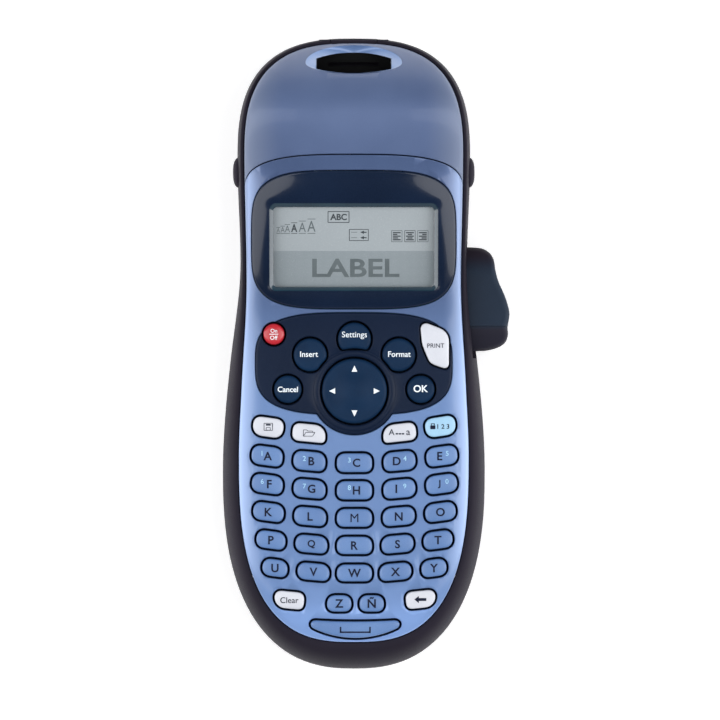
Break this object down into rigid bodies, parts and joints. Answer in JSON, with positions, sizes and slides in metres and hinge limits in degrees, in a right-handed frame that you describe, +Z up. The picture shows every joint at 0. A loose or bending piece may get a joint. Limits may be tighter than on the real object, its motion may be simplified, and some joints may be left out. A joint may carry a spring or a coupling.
{
  "type": "label maker",
  "caption": "Handheld keyboard label maker with a display, keypad, four-way pad, cutter lever and hinged cassette lid",
  "frame": {"origin": "centre line of the flat back, on the face that it rests on", "axes": "+Z up out of the key face, +Y towards the label exit, +X to the right of the keypad"},
  "size_m": [0.0852, 0.1875, 0.0473],
  "materials": {
    "case_dark": "satin dark navy moulding with a purple cast and fine grain",
    "case_blue": "metallic-flake blue paint on plastic",
    "lid_blue": "metallic slate-blue paint on plastic",
    "navy_gloss": "high-gloss dark navy",
    "lcd": "reflective liquid-crystal cell, grey-green",
    "mat": "moulded silicone",
    "board": "green solder mask",
    "lever": "satin dark teal",
    "steel": "brushed",
    "cells": "printed steel cans with plain sleeves",
    "cassette": "moulded shell with a white label roll",
    "brass": "cut brass",
    "gear": "natural acetal",
    "platen": "ground rubber sleeve on a steel shaft",
    "key_navy": "soft satin keycap",
    "key_white": "satin white keycap",
    "key_red": "satin red keycap",
    "key_light": "satin light-blue keycap",
    "key_blue": "satin blue keycap"
  },
  "bodies": {
    "case": {"rear_housing": "case_dark", "front_housing": "case_blue", "display_surround": "navy_gloss", "lcd_module": "lcd", "keypad_mat": "mat", "main_board": "board", "battery_cells": "cells", "label_cassette": "cassette", "print_head": "steel", "drive_motor": "steel"},
    "lid": {"cassette_lid": "lid_blue"},
    "lever": {"cutter_lever": "lever"},
    "blade": {"cutter_blade": "steel"},
    "door": {"battery_door": "case_dark"},
    "platen": {"platen_roller": "platen"},
    "idler": {"idler_gear": "gear"},
    "pinion": {"motor_pinion": "brass"},
    "nav_gimbal": {"nav_pivot": "steel"},
    "nav": {"nav_pad": "key_navy"},
    "key_power": {"key_power": "key_red"},
    "key_print": {"key_print": "key_white"},
    "key_settings": {"key_settings": "key_navy"},
    "key_insert": {"key_insert": "key_navy"},
    "key_format": {"key_format": "key_navy"},
    "key_cancel": {"key_cancel": "key_navy"},
    "key_ok": {"key_ok": "key_navy"},
    "key_save": {"key_save": "key_white"},
    "key_open": {"key_open": "key_white"},
    "key_caps": {"key_caps": "key_white"},
    "key_num": {"key_num": "key_light"},
    "key_z": {"key_z": "key_blue"},
    "key_enye": {"key_enye": "key_blue"},
    "key_clear": {"key_clear": "key_white"},
    "key_backspace": {"key_backspace": "key_white"},
    "key_space": {"key_space": "key_blue"},
    "key_a": {"key_a": "key_blue"},
    "key_b": {"key_b": "key_blue"},
    "key_c": {"key_c": "key_blue"},
    "key_d": {"key_d": "key_blue"},
    "key_e": {"key_e": "key_blue"},
    "key_f": {"key_f": "key_blue"},
    "key_g": {"key_g": "key_blue"},
    "key_h": {"key_h": "key_blue"},
    "key_i": {"key_i": "key_blue"},
    "key_j": {"key_j": "key_blue"},
    "key_k": {"key_k": "key_blue"},
    "key_l": {"key_l": "key_blue"},
    "key_m": {"key_m": "key_blue"},
    "key_n": {"key_n": "key_blue"},
    "key_o": {"key_o": "key_blue"},
    "key_p": {"key_p": "key_blue"},
    "key_q": {"key_q": "key_blue"},
    "key_r": {"key_r": "key_blue"},
    "key_s": {"key_s": "key_blue"},
    "key_t": {"key_t": "key_blue"},
    "key_u": {"key_u": "key_blue"},
    "key_v": {"key_v": "key_blue"},
    "key_w": {"key_w": "key_blue"},
    "key_x": {"key_x": "key_blue"},
    "key_y": {"key_y": "key_blue"}
  },
  "joints": [
    {"name": "lid_open", "type": "hinge", "parent": "case", "child": "lid", "pos_m": [0, 0.0924, 0.018], "axis": [-1, 0, 0], "range_deg": [0, 95]},
    {"name": "lever_press", "type": "hinge", "parent": "case", "child": "lever", "pos_m": [0.024, 0.03, 0.015], "axis": [0, 0, -1], "range_deg": [0, 5], "stiffness_Nm_per_rad": 2, "springref_deg": -5.73},
    {"name": "blade_slide", "type": "slide", "parent": "case", "child": "blade", "axis": [1, 0, 0], "range_m": [0, 0.0045]},
    {"name": "door_open", "type": "hinge", "parent": "case", "child": "door", "pos_m": [0, -0.0116, 0], "axis": [1, 0, 0], "range_deg": [0, 75]},
    {"name": "platen_spin", "type": "hinge", "parent": "case", "child": "platen", "pos_m": [0.005, 0.068, 0.02], "axis": [0, 0, 1], "continuous": true},
    {"name": "idler_spin", "type": "hinge", "parent": "case", "child": "idler", "pos_m": [0.005, 0.053, 0.005], "axis": [0, 0, 1], "continuous": true},
    {"name": "pinion_spin", "type": "hinge", "parent": "case", "child": "pinion", "pos_m": [-0.007, 0.048, 0.005], "axis": [0, 0, 1], "continuous": true},
    {"name": "nav_tilt_up_down", "type": "hinge", "parent": "case", "child": "nav_gimbal", "pos_m": [0.0002, -0.0108, 0.031], "axis": [1, 0, 0], "range_deg": [-4, 4], "stiffness_Nm_per_rad": 0.26},
    {"name": "nav_tilt_left_right", "type": "hinge", "parent": "nav_gimbal", "child": "nav", "pos_m": [0.0002, -0.0108, 0.031], "axis": [0, 1, 0], "range_deg": [-4, 4], "stiffness_Nm_per_rad": 0.26},
    {"name": "press_power", "type": "slide", "parent": "case", "child": "key_power", "axis": [0, 0, -1], "range_m": [0, 0.0009], "stiffness_N_per_m": 400},
    {"name": "press_print", "type": "slide", "parent": "case", "child": "key_print", "axis": [0, 0, -1], "range_m": [0, 0.0009], "stiffness_N_per_m": 400},
    {"name": "press_settings", "type": "slide", "parent": "case", "child": "key_settings", "axis": [0, 0, -1], "range_m": [0, 0.0009], "stiffness_N_per_m": 400},
    {"name": "press_insert", "type": "slide", "parent": "case", "child": "key_insert", "axis": [0, 0, -1], "range_m": [0, 0.0009], "stiffness_N_per_m": 400},
    {"name": "press_format", "type": "slide", "parent": "case", "child": "key_format", "axis": [0, 0, -1], "range_m": [0, 0.0009], "stiffness_N_per_m": 400},
    {"name": "press_cancel", "type": "slide", "parent": "case", "child": "key_cancel", "axis": [0, 0, -1], "range_m": [0, 0.0009], "stiffness_N_per_m": 400},
    {"name": "press_ok", "type": "slide", "parent": "case", "child": "key_ok", "axis": [0, 0, -1], "range_m": [0, 0.0009], "stiffness_N_per_m": 400},
    {"name": "press_save", "type": "slide", "parent": "case", "child": "key_save", "axis": [0, 0, -1], "range_m": [0, 0.0009], "stiffness_N_per_m": 400},
    {"name": "press_open", "type": "slide", "parent": "case", "child": "key_open", "axis": [0, 0, -1], "range_m": [0, 0.0009], "stiffness_N_per_m": 400},
    {"name": "press_caps", "type": "slide", "parent": "case", "child": "key_caps", "axis": [0, 0, -1], "range_m": [0, 0.0009], "stiffness_N_per_m": 400},
    {"name": "press_num", "type": "slide", "parent": "case", "child": "key_num", "axis": [0, 0, -1], "range_m": [0, 0.0009], "stiffness_N_per_m": 400},
    {"name": "press_z", "type": "slide", "parent": "case", "child": "key_z", "axis": [0, 0, -1], "range_m": [0, 0.0009], "stiffness_N_per_m": 400},
    {"name": "press_enye", "type": "slide", "parent": "case", "child": "key_enye", "axis": [0, 0, -1], "range_m": [0, 0.0009], "stiffness_N_per_m": 400},
    {"name": "press_clear", "type": "slide", "parent": "case", "child": "key_clear", "axis": [0, 0, -1], "range_m": [0, 0.0009], "stiffness_N_per_m": 400},
    {"name": "press_backspace", "type": "slide", "parent": "case", "child": "key_backspace", "axis": [0, 0, -1], "range_m": [0, 0.0009], "stiffness_N_per_m": 400},
    {"name": "press_space", "type": "slide", "parent": "case", "child": "key_space", "axis": [0, 0, -1], "range_m": [0, 0.0009], "stiffness_N_per_m": 400},
    {"name": "press_a", "type": "slide", "parent": "case", "child": "key_a", "axis": [0, 0, -1], "range_m": [0, 0.0009], "stiffness_N_per_m": 400},
    {"name": "press_b", "type": "slide", "parent": "case", "child": "key_b", "axis": [0, 0, -1], "range_m": [0, 0.0009], "stiffness_N_per_m": 400},
    {"name": "press_c", "type": "slide", "parent": "case", "child": "key_c", "axis": [0, 0, -1], "range_m": [0, 0.0009], "stiffness_N_per_m": 400},
    {"name": "press_d", "type": "slide", "parent": "case", "child": "key_d", "axis": [0, 0, -1], "range_m": [0, 0.0009], "stiffness_N_per_m": 400},
    {"name": "press_e", "type": "slide", "parent": "case", "child": "key_e", "axis": [0, 0, -1], "range_m": [0, 0.0009], "stiffness_N_per_m": 400},
    {"name": "press_f", "type": "slide", "parent": "case", "child": "key_f", "axis": [0, 0, -1], "range_m": [0, 0.0009], "stiffness_N_per_m": 400},
    {"name": "press_g", "type": "slide", "parent": "case", "child": "key_g", "axis": [0, 0, -1], "range_m": [0, 0.0009], "stiffness_N_per_m": 400},
    {"name": "press_h", "type": "slide", "parent": "case", "child": "key_h", "axis": [0, 0, -1], "range_m": [0, 0.0009], "stiffness_N_per_m": 400},
    {"name": "press_i", "type": "slide", "parent": "case", "child": "key_i", "axis": [0, 0, -1], "range_m": [0, 0.0009], "stiffness_N_per_m": 400},
    {"name": "press_j", "type": "slide", "parent": "case", "child": "key_j", "axis": [0, 0, -1], "range_m": [0, 0.0009], "stiffness_N_per_m": 400},
    {"name": "press_k", "type": "slide", "parent": "case", "child": "key_k", "axis": [0, 0, -1], "range_m": [0, 0.0009], "stiffness_N_per_m": 400},
    {"name": "press_l", "type": "slide", "parent": "case", "child": "key_l", "axis": [0, 0, -1], "range_m": [0, 0.0009], "stiffness_N_per_m": 400},
    {"name": "press_m", "type": "slide", "parent": "case", "child": "key_m", "axis": [0, 0, -1], "range_m": [0, 0.0009], "stiffness_N_per_m": 400},
    {"name": "press_n", "type": "slide", "parent": "case", "child": "key_n", "axis": [0, 0, -1], "range_m": [0, 0.0009], "stiffness_N_per_m": 400},
    {"name": "press_o", "type": "slide", "parent": "case", "child": "key_o", "axis": [0, 0, -1], "range_m": [0, 0.0009], "stiffness_N_per_m": 400},
    {"name": "press_p", "type": "slide", "parent": "case", "child": "key_p", "axis": [0, 0, -1], "range_m": [0, 0.0009], "stiffness_N_per_m": 400},
    {"name": "press_q", "type": "slide", "parent": "case", "child": "key_q", "axis": [0, 0, -1], "range_m": [0, 0.0009], "stiffness_N_per_m": 400},
    {"name": "press_r", "type": "slide", "parent": "case", "child": "key_r", "axis": [0, 0, -1], "range_m": [0, 0.0009], "stiffness_N_per_m": 400},
    {"name": "press_s", "type": "slide", "parent": "case", "child": "key_s", "axis": [0, 0, -1], "range_m": [0, 0.0009], "stiffness_N_per_m": 400},
    {"name": "press_t", "type": "slide", "parent": "case", "child": "key_t", "axis": [0, 0, -1], "range_m": [0, 0.0009], "stiffness_N_per_m": 400},
    {"name": "press_u", "type": "slide", "parent": "case", "child": "key_u", "axis": [0, 0, -1], "range_m": [0, 0.0009], "stiffness_N_per_m": 400},
    {"name": "press_v", "type": "slide", "parent": "case", "child": "key_v", "axis": [0, 0, -1], "range_m": [0, 0.0009], "stiffness_N_per_m": 400},
    {"name": "press_w", "type": "slide", "parent": "case", "child": "key_w", "axis": [0, 0, -1], "range_m": [0, 0.0009], "stiffness_N_per_m": 400},
    {"name": "press_x", "type": "slide", "parent": "case", "child": "key_x", "axis": [0, 0, -1], "range_m": [0, 0.0009], "stiffness_N_per_m": 400},
    {"name": "press_y", "type": "slide", "parent": "case", "child": "key_y", "axis": [0, 0, -1], "range_m": [0, 0.0009], "stiffness_N_per_m": 400}
  ],
  "couplings": [
    {"joint": "blade_slide", "follows": "lever_press", "m_per_rad": 0.048},
    {"joint": "idler_spin", "follows": "platen_spin", "ratio": -0.5},
    {"joint": "pinion_spin", "follows": "platen_spin", "ratio": 1.6667}
  ]
}
